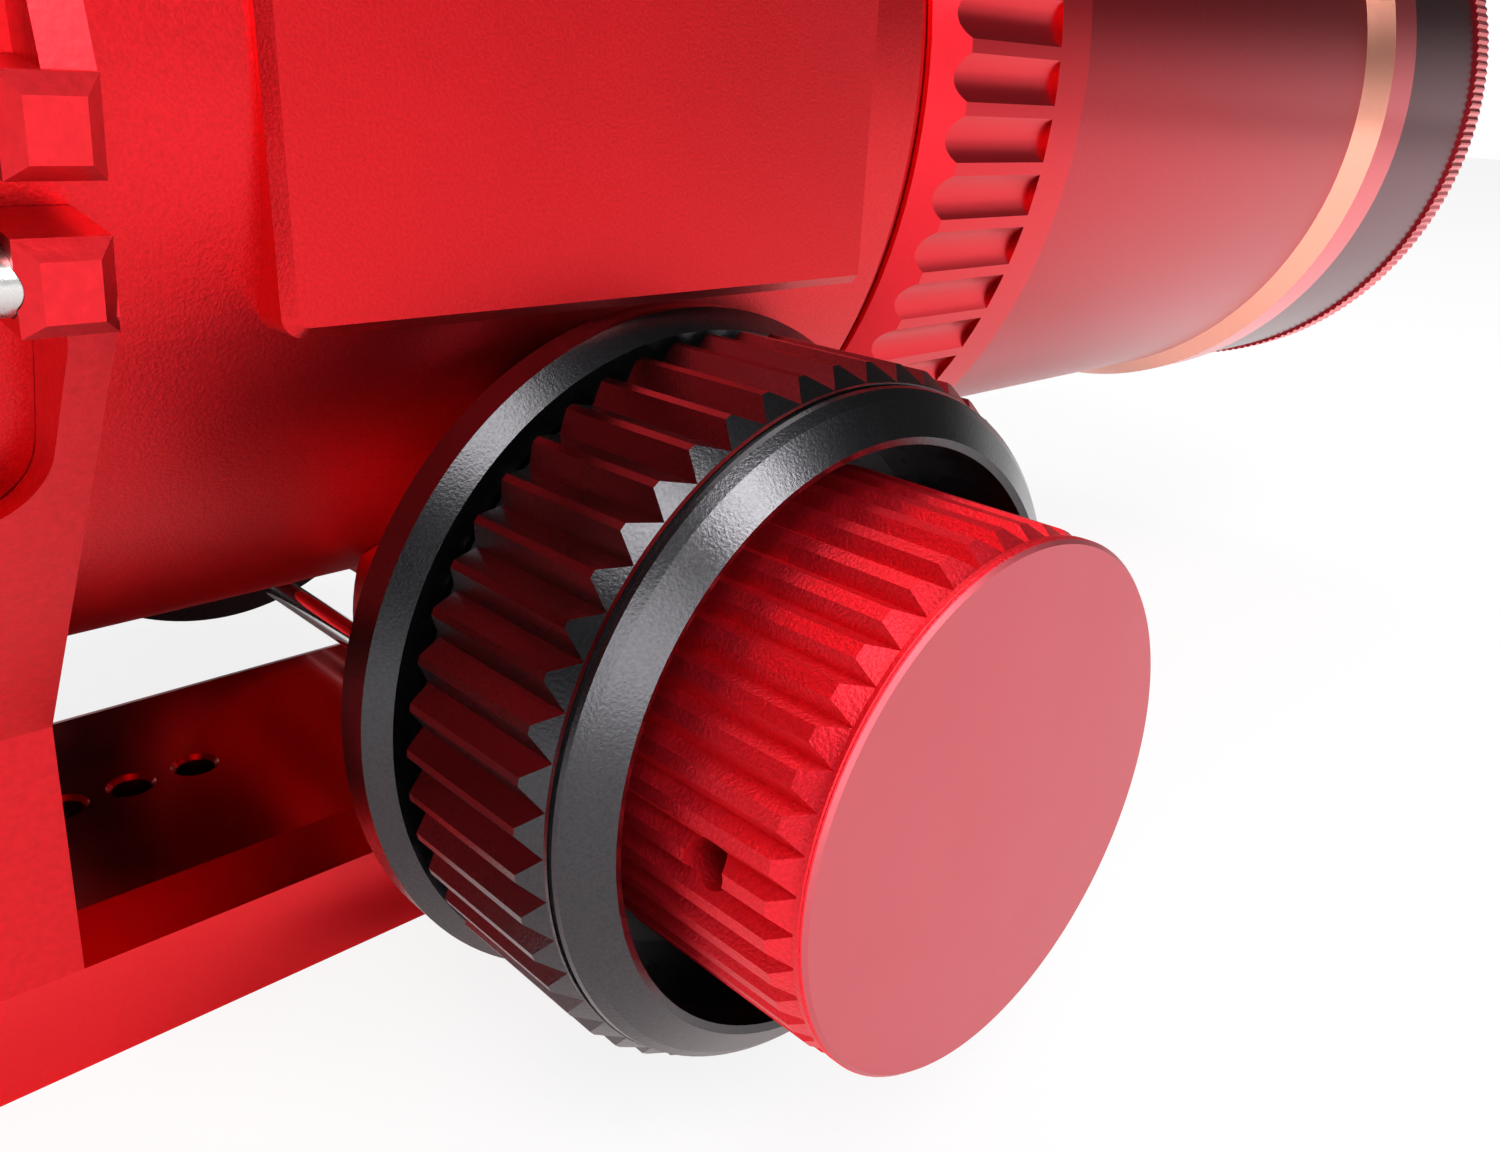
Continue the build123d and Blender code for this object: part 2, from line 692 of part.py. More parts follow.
rail_section = Plane(origin=(ring_middle - rail_length / 2, 0, top_block_z), x_dir=(0, 1, 0),
                     z_dir=(1, 0, 0))
with BuildPart() as accessory_rail:
    with BuildSketch(rail_section):
        with BuildLine():
            Polyline(
                (-rail_waist / 2, 0),
                (rail_waist / 2, 0),
                (rail_width / 2, rail_height - rail_lip),
                (rail_width / 2, rail_height),
                (-rail_width / 2, rail_height),
                (-rail_width / 2, rail_height - rail_lip),
                close=True,
            )
        make_face()
    extrude(amount=rail_length)
    rail_ends = accessory_rail.faces().sort_by(Axis.X)
    chamfer(rail_ends[0].edges() + rail_ends[-1].edges(), lug_chamfer)
    with BuildSketch(Plane(origin=(ring_middle, 0, top_block_z), x_dir=(1, 0, 0), z_dir=(0, 0, 1))):
        with Locations((-top_hole_spacing / 2, 0), (top_hole_spacing / 2, 0)):
            Circle(top_hole_radius + seat_gap)
    extrude(amount=rail_height, mode=Mode.SUBTRACT)
    with BuildSketch(Plane(origin=(ring_middle, 0, top_block_z + rail_height), x_dir=(1, 0, 0),
                           z_dir=(0, 0, 1))):
        with Locations((-top_hole_spacing / 2, 0), (top_hole_spacing / 2, 0)):
            Circle(2 * top_hole_radius + turn_gap)
    extrude(amount=-rail_height / 2, mode=Mode.SUBTRACT)
save(accessory_rail.part, "accessory_rail")

with BuildPart() as rail_screws:
    for offset_x in (-top_hole_spacing / 2, top_hole_spacing / 2):
        seat = Plane(origin=(ring_middle + offset_x, 0, top_block_z + rail_height / 2),
                     x_dir=(1, 0, 0), z_dir=(0, 0, 1))
        add(socket_screw(seat, top_hole_radius - seat_gap, rail_height / 2 + top_block_height - turn_gap,
                         2 * top_hole_radius, rail_lip))
save(rail_screws.part, "rail_screws")

# ---------------------------------------------------------------- body tube
pad_middle = (pad_front + pad_rear) / 2
pad_length = pad_front - pad_rear
pinion_tip = pitch_radius + gear_module
with BuildPart() as body_tube:
    with BuildSketch(tube_section):
        with BuildLine():
            Polyline(
                (tube_rear, tube_bore),
                (tube_rear, tube_radius),
                (tube_front - tube_front_run, tube_radius),
                (tube_front, tube_radius - tube_front_fall),
                (tube_front, tube_bore),
                close=True,
            )
        make_face()
    revolve(axis=tube_axis)
    with BuildSketch(Plane(origin=(pad_middle, -pad_face_y, tube_z), x_dir=(1, 0, 0), z_dir=(0, -1, 0))):
        RectangleRounded(pad_length, pad_height, pad_corner)
    extrude(amount=-(pad_face_y - tube_bore - pad_root))
    pad_faces = body_tube.faces().filter_by(Plane.XZ).sort_by(Axis.Y)
    pad_rim = pad_faces[0].edges().filter_by(lambda e: e.center().X < pad_front - pad_corner)
    chamfer(pad_rim, pad_edge)
    with BuildSketch(Plane(origin=(pad_front, 0, tube_z - pad_height / 2), x_dir=(0, -1, 0), z_dir=(0, 0, -1))):
        with BuildLine():
            Polyline(
                (pad_face_y + overcut, overcut),
                (pad_face_y - pad_front_fall, overcut),
                (pad_face_y - pad_front_fall, 0),
                (pad_face_y, -pad_front_run),
                (pad_face_y + overcut, -pad_front_run),
                close=True,
            )
        make_face()
    extrude(amount=-pad_height, mode=Mode.SUBTRACT)
    with BuildSketch(across(tube_rear)):
        Circle(tube_bore)
    extrude(amount=tube_front - tube_rear, mode=Mode.SUBTRACT)
    with BuildSketch(knob_plane(-boss_inner)):
        Circle(shaft_radius + turn_gap)
    extrude(amount=2 * boss_inner, mode=Mode.SUBTRACT)
    with BuildSketch(knob_plane(-pinion_width / 2 - turn_gap)):
        Circle(pinion_tip + turn_gap)
    extrude(amount=pinion_width + 2 * turn_gap, mode=Mode.SUBTRACT)
save(body_tube.part, "body_tube")

# ---------------------------------------------------------------- focus housing and flanges
with BuildPart() as focus_housing:
    for side in (-1, 1):
        with BuildSketch(knob_plane(boss_inner, side)):
            Circle(boss_radius)
        extrude(amount=flange_back - boss_inner)
    with BuildSketch(knob_plane(-boss_inner)):
        Circle(cradle_radius)
    extrude(amount=2 * boss_inner)
    with BuildSketch(knob_plane(-flange_back)):
        Circle(bush_radius + seat_gap)
    extrude(amount=flange_back - bush_start, mode=Mode.SUBTRACT)
    with BuildSketch(knob_plane(flange_back)):
        Circle(bush_radius + seat_gap)
    extrude(amount=-(flange_back - bush_start), mode=Mode.SUBTRACT)
    with BuildSketch(knob_plane(race_start)):
        Circle(race_outer + seat_gap)
    extrude(amount=flange_back - race_start, mode=Mode.SUBTRACT)
    with BuildSketch(knob_plane(-bush_start)):
        Circle(shaft_radius + turn_gap)
    extrude(amount=2 * bush_start, mode=Mode.SUBTRACT)
    with BuildSketch(knob_plane(-pinion_width / 2 - turn_gap)):
        Circle(pinion_tip + turn_gap)
    extrude(amount=pinion_width + 2 * turn_gap, mode=Mode.SUBTRACT)
    for side in (-1, 1):
        with BuildSketch(knob_plane(flange_back, side)):
            with PolarLocations(flange_screw_circle, 4, start_angle=45):
                Circle(flange_screw_radius + seat_gap)
        extrude(amount=-(flange_screw_grip + screw_relief), mode=Mode.SUBTRACT)
    with BuildSketch(across(tube_rear)):
        Circle(tube_radius + seat_gap)
    extrude(amount=tube_front - tube_rear, mode=Mode.SUBTRACT)
save(focus_housing.part, "focus_housing")

for name, side in (("near_flange", -1), ("far_flange", 1)):
    with BuildPart() as flange:
        add(shaft_turned(
            side,
            (flange_back, sleeve_radius + turn_gap if side < 0 else shaft_radius + turn_gap),
            (flange_back, flange_radius),
            (flange_face - flange_chamfer, flange_radius),
            (flange_face, flange_radius - flange_chamfer),
            (flange_face, sleeve_radius + turn_gap if side < 0 else shaft_radius + turn_gap),
        ))
        with BuildSketch(knob_plane(flange_back, side)):
            with PolarLocations(flange_screw_circle, 4, start_angle=45):
                Circle(flange_screw_radius + seat_gap)
        extrude(amount=flange_face - flange_back, mode=Mode.SUBTRACT)
        with BuildSketch(knob_plane(flange_face, side)):
            with PolarLocations(flange_screw_circle, 4, start_angle=45):
                Circle(flange_screw_head + seat_gap)
        extrude(amount=-flange_screw_head_height, mode=Mode.SUBTRACT)
        with BuildSketch(knob_plane(flange_back, side)):
            with Locations((tie_rod_x, side * tie_rod_drop)):
                Circle(tie_rod_radius + seat_gap)
        extrude(amount=tie_rod_seat, mode=Mode.SUBTRACT)
        if side < 0:
            with BuildSketch(knob_plane(flange_back, side)):
                Circle(race_outer + seat_gap)
            extrude(amount=race_end - flange_back, mode=Mode.SUBTRACT)
    save(flange.part, name)

for name, side in (("near_flange_screws", -1), ("far_flange_screws", 1)):
    with BuildPart() as flange_screws:
        for spot in knob_plane(flange_face - flange_screw_head_height, side) * PolarLocations(
                flange_screw_circle, 4, start_angle=45):
            seat = Plane(origin=spot.position, x_dir=(1, 0, 0), z_dir=(0, side, 0))
            add(socket_screw(seat, flange_screw_radius,
                             flange_face - flange_screw_head_height - flange_back + flange_screw_grip,
                             flange_screw_head, flange_screw_head_height - running_gap))
    save(flange_screws.part, name)

tie_rod_half = flange_back + tie_rod_seat
with BuildPart() as tie_rod:
    with BuildSketch(Plane(origin=(tie_rod_x, tie_rod_half, shaft_z - tie_rod_drop), x_dir=(1, 0, 0),
                           z_dir=(0, -1, 0))):
        Circle(tie_rod_radius)
    extrude(amount=2 * tie_rod_half)
save(tie_rod.part, "tie_rod")

for name, side in (("near_bush", -1), ("far_bush", 1)):
    bush = shaft_turned(
        side,
        (bush_start, shaft_radius + running_gap),
        (bush_start, bush_radius),
        (bush_start + bush_length, bush_radius),
        (bush_start + bush_length, shaft_radius + running_gap),
    )
    save(bush, name)

ball_circle = fine_shaft_radius + ball_radius + ball_gap
race_bore = ball_circle + ball_radius + ball_gap
ball_race = shaft_turned(
    -1,
    (race_start, race_bore),
    (race_start, race_outer),
    (race_end, race_outer),
    (race_end, race_bore),
)
save(ball_race, "ball_race")

# ---------------------------------------------------------------- focus drive
tooth_thickness = pitch_length / 2 - backlash / 2
base_radius = pitch_radius * cos(radians(pressure_angle))
pinion_root = pitch_radius - 1.25 * gear_module


def involute_half_angle(radius):
    """Half the angle that a pinion tooth spans at this radius."""
    def spread(angle):
        return tan(angle) - angle

    here = acos(min(1.0, base_radius / radius))
    return tooth_thickness / 2 / pitch_radius + spread(radians(pressure_angle)) - spread(here)


flank_radii = [pinion_root, base_radius, pitch_radius - 0.5 * gear_module + 0.5 * (base_radius - pitch_radius),
               pitch_radius, pitch_radius + 0.5 * gear_module, pinion_tip]
flank_radii = sorted(set(flank_radii))
pinion_points = []
for tooth in range(pinion_teeth):
    tooth_middle = pi / 2 + 2 * pi * tooth / pinion_teeth
    for radius in flank_radii:
        turn = tooth_middle - involute_half_angle(max(radius, base_radius))
        pinion_points.append((radius * cos(turn), radius * sin(turn)))
    for radius in reversed(flank_radii):
        turn = tooth_middle + involute_half_angle(max(radius, base_radius))
        pinion_points.append((radius * cos(turn), radius * sin(turn)))

with BuildPart() as coarse_shaft:
    with BuildSketch(knob_plane(-pinion_width / 2)):
        with BuildLine():
            Polyline(*pinion_points, close=True)
        make_face()
    extrude(amount=pinion_width)
    with BuildSketch(knob_plane(-hub_front)):
        Circle(shaft_radius)
    extrude(amount=hub_front + sleeve_start)
    with BuildSketch(knob_plane(sleeve_start)):
        Circle(sleeve_radius)
    extrude(amount=sleeve_end - sleeve_start)
    with BuildSketch(knob_plane(sleeve_start + sleeve_wall)):
        Circle(fine_shaft_radius + running_gap)
    extrude(amount=sleeve_end - sleeve_start, mode=Mode.SUBTRACT)
    for i in range(ball_count):
        pocket = Plane(origin=(0, -ball_y, shaft_z), x_dir=(0, 1, 0),
                       z_dir=(cos(2 * pi * i / ball_count), 0, sin(2 * pi * i / ball_count)))
        with BuildSketch(pocket):
            Circle(ball_radius + seat_gap)
        extrude(amount=sleeve_radius + overcut, mode=Mode.SUBTRACT)
save(coarse_shaft.part, "coarse_shaft")

with BuildPart() as reducer_balls:
    with Locations(Plane(origin=(0, -ball_y, shaft_z), x_dir=(1, 0, 0), z_dir=(0, -1, 0))):
        with PolarLocations(ball_circle, ball_count):
            Sphere(ball_radius)
save(reducer_balls.part, "reducer_balls")

hub_bore = {-1: sleeve_radius + seat_gap, 1: shaft_radius + seat_gap}
# Inside of each wheel: a deep well round the fine knob, or a closed dished face.
wheel_inside = {
    -1: [(cavity_floor, cavity_radius - cavity_fillet), (cavity_floor, hub_radius), (hub_front, hub_radius),
         (hub_front, hub_bore[-1])],
    1: [(far_face, cavity_radius - cavity_fillet), (far_face, 0), (hub_front + seat_gap, 0),
        (hub_front + seat_gap, hub_bore[1])],
}
for name, side in (("coarse_wheel_near", -1), ("coarse_wheel_far", 1)):
    with BuildPart() as coarse_wheel:
        add(shaft_turned(
            side,
            (wheel_back, hub_bore[side]),
            (wheel_back, wheel_neck_radius),
            (wheel_ridge_start, wheel_neck_radius),
            (wheel_ridge_start, wheel_radius),
            (wheel_ridge_end, wheel_radius),
            (wheel_land_start, wheel_floor),
            (wheel_land_start + wheel_line_inset, wheel_floor),
            (wheel_land_start + wheel_line_inset, wheel_floor - wheel_line_depth),
            (wheel_land_start + wheel_line_inset + wheel_line_width, wheel_floor - wheel_line_depth),
            (wheel_land_start + wheel_line_inset + wheel_line_width, wheel_floor - wheel_land_fall / 2),
            (wheel_land_end, wheel_floor - wheel_land_fall),
            (wheel_bevel_start, wheel_floor - wheel_land_fall - wheel_edge_fall),
            (wheel_front, wheel_rim_radius),
            (wheel_front - wheel_lip, cavity_radius),
            *wheel_inside[side],
        ))
        add(ridged_prism(knob_plane(wheel_back, side), wheel_front - wheel_back, wheel_radius,
                         wheel_groove, wheel_teeth, wheel_crest), mode=Mode.INTERSECT)
        if side < 0:
            with BuildSketch(Plane(origin=(0, -wheel_screw_y, shaft_z), x_dir=(0, 1, 0), z_dir=(0, 0, 1))):
                Circle(wheel_screw_radius + seat_gap)
            extrude(amount=hub_radius, mode=Mode.SUBTRACT)
    save(coarse_wheel.part, name)

with BuildPart() as wheel_screw:
    with BuildSketch(Plane(origin=(0, -wheel_screw_y, shaft_z + hub_bore[-1]), x_dir=(0, 1, 0),
                           z_dir=(0, 0, 1))):
        Circle(wheel_screw_radius)
    extrude(amount=hub_radius - hub_bore[-1] - turn_gap)
    with BuildSketch(Plane(origin=(0, -wheel_screw_y, shaft_z + hub_radius), x_dir=(0, 1, 0),
                           z_dir=(0, 0, 1))):
        RegularPolygon(wheel_screw_radius * grub_socket_share, 6)
    extrude(amount=-socket_depth, mode=Mode.SUBTRACT)
save(wheel_screw.part, "wheel_screw")

with BuildPart() as fine_shaft:
    with BuildSketch(knob_plane(sleeve_start + sleeve_wall + turn_gap)):
        Circle(fine_shaft_radius)
    extrude(amount=fine_rim_start - sleeve_start - sleeve_wall - turn_gap)
save(fine_shaft.part, "fine_shaft")

fine_floor = fine_radius - fine_groove
with BuildPart() as fine_knob:
    add(shaft_turned(
        -1,
        (fine_back, fine_hollow_radius),
        (fine_back, fine_radius - rim_edge),
        (fine_back + rim_edge, fine_radius),
        (fine_ridge_end, fine_radius),
        (fine_rim_start, fine_floor),
        (fine_rim_start, fine_shaft_radius + seat_gap),
        (fine_hollow_end, fine_shaft_radius + seat_gap),
        (fine_hollow_end, fine_hollow_radius),
    ))
    add(ridged_prism(knob_plane(fine_back), fine_rim_start - fine_back, fine_radius, fine_groove,
                     fine_teeth, fine_crest), mode=Mode.INTERSECT)
    add(shaft_turned(
        -1,
        (fine_rim_start, 0),
        (fine_rim_start, fine_floor),
        (fine_rim_start + fine_rise, fine_rim_radius),
        (fine_rim_end, fine_rim_radius),
        (fine_rim_end + fine_line / 2, fine_rim_radius - fine_line / 2),
        (fine_rim_end + fine_line, fine_rim_radius),
        (fine_face, fine_face_radius),
        (fine_face, 0),
    ))
    with BuildSketch(Plane(origin=(0, -set_screw_y, shaft_z), x_dir=(0, 1, 0), z_dir=(-1, 0, 0))):
        Circle(set_screw_radius + seat_gap)
    extrude(amount=fine_radius, mode=Mode.SUBTRACT)
save(fine_knob.part, "fine_knob")

with BuildPart() as knob_set_screw:
    with BuildSketch(Plane(origin=(-fine_shaft_radius - seat_gap, -set_screw_y, shaft_z), x_dir=(0, 1, 0),
                           z_dir=(-1, 0, 0))):
        Circle(set_screw_radius)
    extrude(amount=fine_radius - set_screw_sink - fine_shaft_radius)
    with BuildSketch(Plane(origin=(-fine_radius + set_screw_sink, -set_screw_y, shaft_z),
                           x_dir=(0, 1, 0), z_dir=(-1, 0, 0))):
        RegularPolygon(set_screw_radius * grub_socket_share, 6)
    extrude(amount=-socket_depth, mode=Mode.SUBTRACT)
save(knob_set_screw.part, "knob_set_screw")

# ---------------------------------------------------------------- focusing carriage
carriage_rear = carriage_front - carriage_length
carriage_radius = tube_bore - running_gap
rack_top = rack_pitch_z + rack_back
lens_seat = focus_lens_radius + seat_gap
with BuildPart() as focus_carriage:
    with BuildSketch(tube_section):
        with BuildLine():
            Polyline(
                (carriage_rear, lens_seat),
                (carriage_rear, carriage_radius),
                (carriage_front, carriage_radius),
                (carriage_front, carriage_lip_bore),
                (carriage_front - carriage_lip, carriage_lip_bore),
                (carriage_front - carriage_lip, lens_seat),
                close=True,
            )
        make_face()
    revolve(axis=tube_axis)
    with Locations((carriage_front, 0, carriage_flat_z)):
        Box(carriage_length, 2 * carriage_radius, carriage_radius,
            align=(Align.MAX, Align.CENTER, Align.MAX), mode=Mode.SUBTRACT)
        Box(carriage_length, rack_width + 2 * seat_gap, rack_top + seat_gap - carriage_flat_z,
            align=(Align.MAX, Align.CENTER, Align.MIN), mode=Mode.SUBTRACT)
save(focus_carriage.part, "focus_carriage")

rack_addendum = gear_module
rack_dedendum = 1.25 * gear_module
rack_lean = tan(radians(pressure_angle))
rack_points = [(-rack_teeth / 2 * pitch_length, rack_back)]
for tooth in range(rack_teeth):
    tooth_middle = (tooth - rack_teeth / 2 + 0.5) * pitch_length
    half_root = tooth_thickness / 2 + rack_dedendum * rack_lean
    half_tip = tooth_thickness / 2 - rack_addendum * rack_lean
    rack_points.append((tooth_middle - half_root, rack_dedendum))
    rack_points.append((tooth_middle - half_tip, -rack_addendum))
    rack_points.append((tooth_middle + half_tip, -rack_addendum))
    rack_points.append((tooth_middle + half_root, rack_dedendum))
rack_points.append((rack_teeth / 2 * pitch_length, rack_back))
with BuildPart() as focus_rack:
    with BuildSketch(Plane(origin=(0, rack_width / 2, rack_pitch_z), x_dir=(1, 0, 0), z_dir=(0, -1, 0))):
        with BuildLine():
            Polyline(*rack_points, close=True)
        make_face()
    extrude(amount=rack_width)
save(focus_rack.part, "focus_rack")

lens_front_edge = carriage_front - carriage_lip - focus_washer_length
save(lens(lens_front_edge - focus_lens_edge, lens_front_edge, focus_lens_radius, carriage_lip_bore,
          1.8, -1.2), "focus_lens_front")
spacer_front = lens_front_edge - focus_lens_edge
spacer_rear = spacer_front - focus_gap_edge
save(lens(spacer_rear - focus_lens_edge, spacer_rear, focus_lens_radius, carriage_lip_bore,
          1.2, 1.5), "focus_lens_rear")
save(tube_turned(
    (lens_front_edge, carriage_lip_bore),
    (lens_front_edge, focus_lens_radius),
    (carriage_front - carriage_lip, focus_lens_radius),
    (carriage_front - carriage_lip, carriage_lip_bore),
), "focus_lens_washer")
save(tube_turned(
    (spacer_rear, carriage_lip_bore),
    (spacer_rear, focus_lens_radius),
    (spacer_front, focus_lens_radius),
    (spacer_front, carriage_lip_bore),
), "focus_spacer")
retainer_front = spacer_rear - focus_lens_edge
save(tube_turned(
    (carriage_rear, carriage_lip_bore),
    (carriage_rear, focus_lens_radius),
    (retainer_front, focus_lens_radius),
    (retainer_front, carriage_lip_bore),
), "focus_retainer")

# ---------------------------------------------------------------- objective and dew shield
with BuildPart() as objective_barrel:
    add(tube_turned(
        (tube_front - barrel_plug, barrel_bore),
        (tube_front - barrel_plug, tube_bore - seat_gap),
        (tube_front, tube_bore - seat_gap),
        (tube_front, barrel_outer),
        (barrel_front, barrel_outer),
        (barrel_front, barrel_bore),
    ))
save(objective_barrel.part, "objective_barrel")

baffle_rear = tube_front + baffle_inset
save(tube_turned(
    (baffle_rear, baffle_bore),
    (baffle_rear, barrel_bore - seat_gap),
    (baffle_rear + baffle_thickness, barrel_bore - seat_gap),
    (baffle_rear + baffle_thickness, baffle_bore),
), "barrel_baffle")

cell_front = barrel_front - objective_cell_inset
cell_rear = cell_front - objective_cell_length
cell_seat = lens_radius + seat_gap
save(tube_turned(
    (cell_rear, objective_stop),
    (cell_rear, barrel_bore - seat_gap),
    (cell_front, barrel_bore - seat_gap),
    (cell_front, cell_seat),
    (cell_rear + objective_cell_lip, cell_seat),
    (cell_rear + objective_cell_lip, objective_stop),
), "objective_cell")

rear_lens_rear = cell_rear + objective_cell_lip
rear_lens_front = rear_lens_rear + rear_lens_edge
front_lens_rear = rear_lens_front + lens_gap
front_lens_front = front_lens_rear + front_lens_edge
save(lens(rear_lens_rear, rear_lens_front, lens_radius, objective_stop, -1.0, 0.6),
     "objective_lens_rear")
save(tube_turned(
    (rear_lens_front, objective_stop),
    (rear_lens_front, lens_radius),
    (front_lens_rear, lens_radius),
    (front_lens_rear, objective_stop),
), "objective_spacer")
save(lens(front_lens_rear, front_lens_front, lens_radius, objective_stop, 2.4, -0.8),
     "objective_lens_front")
save(tube_turned(
    (front_lens_front, objective_stop),
    (front_lens_front, lens_radius),
    (cell_front, lens_radius),
    (cell_front, objective_stop),
), "objective_retainer")

with BuildPart() as lock_collar:
    add(tube_turned(
        (collar_rear, barrel_outer + running_gap),
        (collar_rear, collar_radius - collar_rear_fall),
        (collar_rear + collar_rear_run, collar_radius),
        (collar_front - collar_front_run, collar_radius),
        (collar_front, collar_radius - collar_front_fall),
        (collar_front, barrel_outer + running_gap),
    ))
    with BuildSketch(across(collar_rear)):
        with PolarLocations(collar_radius - collar_groove_depth + collar_groove_radius, collar_grooves):
            Circle(collar_groove_radius)
    extrude(amount=collar_groove_length, mode=Mode.SUBTRACT)
save(lock_collar.part, "lock_collar")

felt_start = shield_rear + felt_inset
felt_front = felt_start + felt_length
save(tube_turned(
    (shield_rear, shield_bore),
    (shield_rear, shield_radius - rim_edge),
    (shield_rear + rim_edge, shield_radius),
    (accent_rear, shield_radius),
    (accent_rear, shield_bore),
    (felt_front, shield_bore),
    (felt_front, shield_bore + felt_depth),
    (felt_start, shield_bore + felt_depth),
    (felt_start, shield_bore),
), "dew_shield")
save(tube_turned(
    (felt_start + seat_gap, barrel_outer + running_gap),
    (felt_start + seat_gap, shield_bore + felt_depth - seat_gap),
    (felt_front - seat_gap, shield_bore + felt_depth - seat_gap),
    (felt_front - seat_gap, barrel_outer + running_gap),
), "felt_ring")
save(tube_turned(
    (accent_rear, shield_bore),
    (accent_rear, shield_radius),
    (accent_front, front_ring_radius),
    (accent_front, shield_bore),
), "accent_ring")
save(tube_turned(
    (accent_front, shield_bore),
    (accent_front, front_ring_radius),
    (front_ring_front - rim_edge, front_ring_radius),
    (front_ring_front, front_ring_radius - rim_edge),
    (front_ring_front, shield_bore),
), "shield_front_ring")

plug_radius = shield_bore - cap_gap
save(tube_turned(
    (cap_rear - cap_plug_length, plug_radius - cap_plug_wall),
    (cap_rear - cap_plug_length, plug_radius),
    (cap_rear, plug_radius),
    (cap_rear, cap_radius),
    (cap_rim_start, cap_radius),
    (cap_rim_start, 0),
    (cap_rim_start - cap_wall, 0),
    (cap_rim_start - cap_wall, plug_radius - cap_plug_wall),
), "front_cap")
with BuildPart() as cap_rim:
    add(tube_turned(
        (cap_rim_start, 0),
        (cap_rim_start, cap_rim_radius),
        (cap_front - cap_rim_edge, cap_rim_radius),
        (cap_front, cap_rim_radius - cap_rim_fall),
        (cap_front, cap_rim_radius - cap_rim_lip),
        (cap_front - cap_rim_dish, cap_rim_radius - cap_rim_lip - cap_rim_dish),
        (cap_front - cap_rim_dish, 0),
    ))
    add(ridged_prism(across(cap_rim_start), cap_front - cap_rim_start, cap_rim_radius, cap_groove,
                     cap_teeth, cap_groove), mode=Mode.INTERSECT)
save(cap_rim.part, "cap_rim")

# ---------------------------------------------------------------- rear end
plate_rear = tube_rear - rear_plate_length
spigot_end = plate_rear - spigot_length
save(tube_turned(
    (spigot_end, rear_bore),
    (spigot_end, spigot_radius),
    (plate_rear, spigot_radius),
    (plate_rear, tube_radius - rear_edge),
    (plate_rear + rear_edge, tube_radius),
    (tube_rear, tube_radius),
    (tube_rear, tube_bore - seat_gap),
    (tube_rear + rear_plug_length, tube_bore - seat_gap),
    (tube_rear + rear_plug_length, rear_bore),
), "rear_cell")

rotator_front = plate_rear - turn_gap
rotator_inner = spigot_end - turn_gap
rotator_rear = rotator_inner - rotator_back - seat_gap
lock_x = (rotator_front + rotator_inner) / 2
with BuildPart() as rotator_ring:
    add(tube_turned(
        (rotator_front, spigot_radius + running_gap),
        (rotator_front, rotator_radius - rotator_edge),
        (rotator_front - rotator_edge, rotator_radius),
        (rotator_rear + rotator_edge, rotator_radius),
        (rotator_rear, rotator_radius - rotator_edge),
        (rotator_rear, rotator_back_bore),
        (rotator_inner, rotator_back_bore),
        (rotator_inner, spigot_radius + running_gap),
    ))
    add(ridged_prism(across(rotator_rear), rotator_front - rotator_rear, rotator_radius,
                     rotator_groove, rotator_teeth, rotator_crest), mode=Mode.INTERSECT)
    with BuildSketch(Plane(origin=(lock_x, 0, tube_z), x_dir=(1, 0, 0), z_dir=(0, 0, 1))):
        Circle(lock_screw_radius + running_gap)
    extrude(amount=rotator_radius + overcut, mode=Mode.SUBTRACT)
save(rotator_ring.part, "rotator_ring")

lock_base = Plane(origin=(lock_x, 0, tube_z + rotator_radius + lock_standoff), x_dir=(1, 0, 0),
                  z_dir=(0, 0, 1))
with BuildPart() as rotator_lock_screw:
    add(ridged_prism(lock_base, lock_head_height, lock_head_radius, lock_head_groove,
                     lock_head_teeth, lock_head_crest))
    with BuildSketch(lock_base):
        Circle(lock_screw_radius)
    extrude(amount=-(rotator_radius + lock_standoff - spigot_radius - turn_gap))
save(rotator_lock_screw.part, "rotator_lock_screw")

adapter_rear = rotator_rear - adapter_flange_length
save(tube_turned(
    (rotator_inner, adapter_bore),
    (rotator_inner, rotator_back_bore - seat_gap),
    (rotator_rear, rotator_back_bore - seat_gap),
    (rotator_rear, adapter_flange_radius),
    (adapter_rear, adapter_flange_radius),
    (adapter_rear, thread_radius),
    (adapter_rear - thread_length, thread_radius),
    (adapter_rear - thread_length, adapter_bore),
), "camera_adapter")

save(tube_turned(
    (adapter_rear, thread_radius + running_gap),
    (adapter_rear, rear_cap_radius),
    (adapter_rear - rear_cap_length + rear_cap_edge, rear_cap_radius),
    (adapter_rear - rear_cap_length, rear_cap_radius - rear_cap_edge),
    (adapter_rear - rear_cap_length, 0),
    (adapter_rear - rear_cap_length + rear_cap_floor, 0),
    (adapter_rear - rear_cap_length + rear_cap_floor, thread_radius + running_gap),
), "rear_cap")
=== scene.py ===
# %% [markdown]
# # A small internal-focus refractor
# The telescope is a red anodised tube, held by a clamp ring on a dovetail bar. A two-speed
# focus drive crosses under the tube: a black coarse wheel with a red fine knob inside it.
# The CAD gives every piece its true shape and size, in metres, so this lesson is about
# finish: how anodised, turned, knurled and polished metal look, and how to light them.

# %% Load the fixed frame
import json

import bpy
from mathutils import Matrix, Vector

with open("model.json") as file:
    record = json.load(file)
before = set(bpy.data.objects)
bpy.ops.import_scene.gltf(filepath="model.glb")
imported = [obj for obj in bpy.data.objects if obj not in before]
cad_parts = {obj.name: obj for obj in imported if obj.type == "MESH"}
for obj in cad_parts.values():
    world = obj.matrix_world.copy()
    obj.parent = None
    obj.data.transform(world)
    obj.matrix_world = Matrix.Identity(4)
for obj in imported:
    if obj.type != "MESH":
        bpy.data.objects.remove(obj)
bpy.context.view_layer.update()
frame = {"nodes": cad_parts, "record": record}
MM = 0.001


